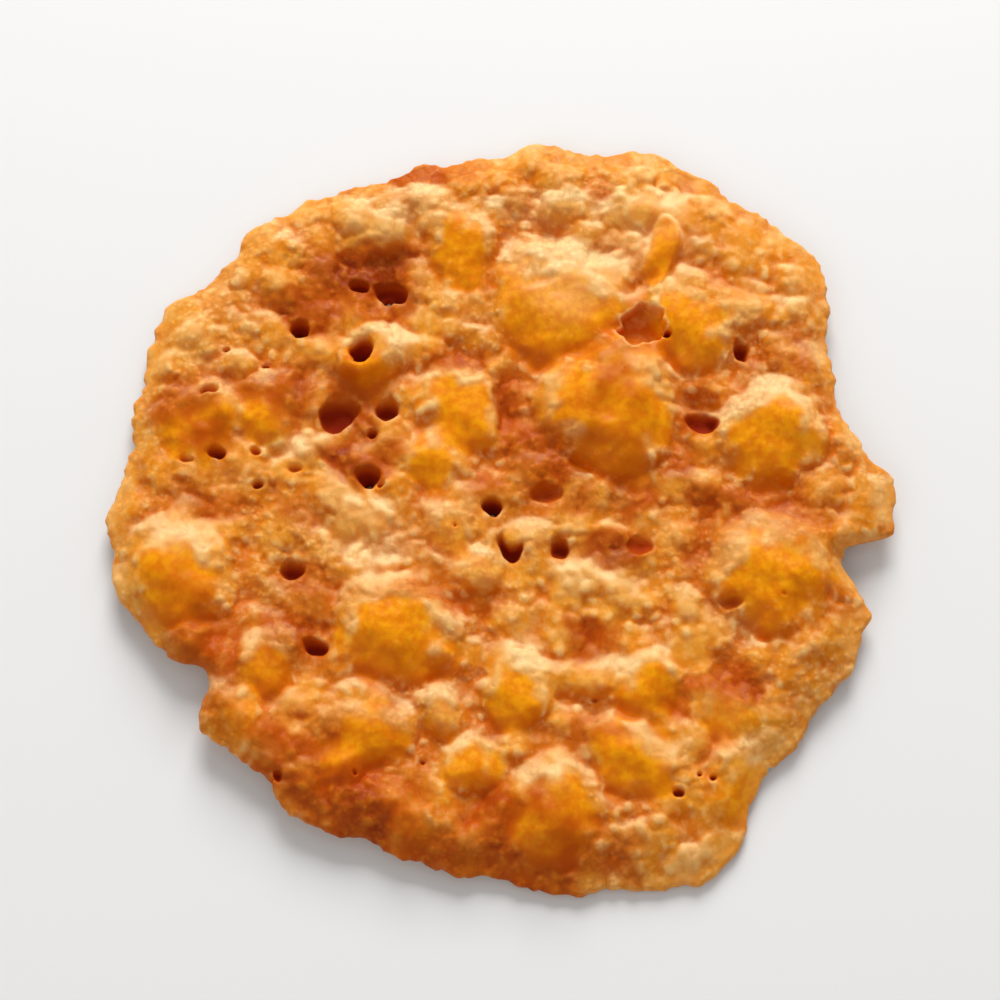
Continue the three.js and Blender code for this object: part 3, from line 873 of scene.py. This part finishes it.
# %% [markdown]
# ## The underside
#
# The underside set against the tray, so it is flat, matt and even: a dull tan with short
# streaks, paler and darker patches, and pin pores where steam got away.

# %% Underside
creep = (1000 / 1.8, 1000 / 1.0, 1000 / 1.8)  # streaks 1.8 mm long and 1 mm wide
drawn = add_node(tree, "VectorMath", {0: where, 1: creep}, operation="MULTIPLY").outputs[0]
streaks = add_node(tree, "TexNoise", {"Vector": drawn, "Scale": 1.0, "Detail": 3.0}).outputs["Fac"]
under_colour = coat(linear("#C27A44"), "#D0935C", streaks, 0.3, 0.7)
under_colour = coat(under_colour, "#AE6230", patches, 0.4, 0.65, 0.4)
# Pin pores painted as dark dots: painted shade of pores that the mesh doesn't have.
under_colour = coat(under_colour, "#6E3414", foam, 0.3, 0.15, 0.8, luck)
colour = coat(under_colour, colour, mask["top"], 0.0, 1.0)

# %% [markdown]
# ## Sheen, bump and glow
#
# Boiled sugar has an IOR near 1.5, but a dusty crust mirrors little, so the specular level is
# low. The froth gets a bump of beads 0.1 mm high. Light goes a millimetre into caramel and comes
# out redder, which is subsurface scattering, stronger in the clear shells than in the froth.

# %% Surface
bead = {"Value": foam, "From Min": 0.0, "From Max": 0.65, "To Min": luck, "To Max": 0.0}
bead = add_node(tree, "MapRange", bead, interpolation_type="SMOOTHSTEP").outputs["Result"]
grit = add_node(tree, "Math", {0: mottle, 1: mask["rough"]}, operation="MULTIPLY").outputs[0]
grit = add_node(tree, "Math", {0: bead, 1: mask["froth"], 2: grit}, operation="MULTIPLY_ADD")
gritty = add_node(tree, "Bump", {"Height": grit.outputs[0], "Strength": 1.0, "Distance": 0.0001})
dull = {"Value": mask["pit"], "From Min": 0.2, "From Max": 1.0, "To Min": 0.4, "To Max": 0.8}
roughness = add_node(tree, "MapRange", dull, interpolation_type="SMOOTHSTEP")
glow = {"Value": mask["shell"], "To Min": 0.3, "To Max": 0.55}
surface = add_node(tree, "BsdfPrincipled", subsurface_method="BURLEY", inputs={
    "Base Color": colour,
    "Roughness": roughness.outputs["Result"],
    "IOR": 1.5,
    "Specular IOR Level": 0.08,
    "Normal": gritty.outputs["Normal"],
    "Subsurface Weight": add_node(tree, "MapRange", glow).outputs["Result"],
    "Subsurface Radius": (1.0, 0.32, 0.07),
    "Subsurface Scale": 0.0013,
})
add_node(tree, "OutputMaterial", {"Surface": surface.outputs["BSDF"]})
baked.materials.append(crust)
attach(wafer, "root")
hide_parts("cookie")
print("The crust has", len(tree.nodes), "nodes")

# %% [markdown]
# ## The table
#
# The cookie lies on a plain lacquered table, pale so that it sends soft light back up under the
# rim.

# %% Table
bpy.ops.mesh.primitive_plane_add(size=3.0)
table = bpy.context.object
table.name = "table"
lacquer = bpy.data.materials.new("white_matt_lacquer")
lacquer.use_nodes = True
paint = lacquer.node_tree.nodes["Principled BSDF"]
paint.inputs["Base Color"].default_value = linear("#F4F3F1")
paint.inputs["Roughness"].default_value = 0.6
table.data.materials.append(lacquer)
table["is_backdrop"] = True

# %% [markdown]
# ## Light
#
# The key light stands behind the cookie and fairly low, so each blister has a bright far side
# and a deep near side. A weak fill from the front left and an even white sky keep the near sides
# from going black.

# %% Light
def softbox(name, place, size, power):
    """A square area light that faces the cookie: place and size in metres, power in watts."""
    light = bpy.data.lights.new(name, "AREA")
    light.size = size
    light.energy = power
    lamp = bpy.data.objects.new(name, light)
    bpy.context.scene.collection.objects.link(lamp)
    lamp.location = place
    lamp.rotation_euler = Vector(place).to_track_quat("Z", "Y").to_euler()


softbox("key", (0.03, 0.63, 0.42), 0.4, 5.5)
softbox("fill", (-0.4, -0.5, 0.6), 0.6, 0.6)
SKY = 0.41  # strength of the even white light from all round
world = bpy.data.worlds.new("studio")
bpy.context.scene.world = world
world.use_nodes = True
world.node_tree.nodes["Background"].inputs["Color"].default_value = linear("#FFFFFF")
world.node_tree.nodes["Background"].inputs["Strength"].default_value = SKY
bpy.context.scene.view_settings.view_transform = "Standard"

# %% [markdown]
# ## Camera
#
# The camera looks down on the cookie's face, a little from the front, through a long lens that
# keeps the round round.

# %% Camera
ELEVATION = math.radians(74)
FRAME_WIDTH = 0.100  # what the picture spans at the cookie, m
lens = bpy.data.cameras.new("camera")
lens.lens = 100.0
camera = bpy.data.objects.new("camera", lens)
bpy.context.scene.collection.objects.link(camera)
towards = Vector((0, -math.cos(ELEVATION), math.sin(ELEVATION)))
aim = Vector((0, 0, cad_high.z / 2))
camera.location = towards * FRAME_WIDTH * lens.lens / lens.sensor_width + aim
camera.rotation_euler = towards.to_track_quat("Z", "Y").to_euler()
bpy.context.scene.camera = camera
print(f"The camera stands {camera.location.length * 1000:.0f} mm away")

# %% Print the finished size
low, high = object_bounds()
print("The finished box is", [round(1000 * side, 2) for side in high - low], "mm")
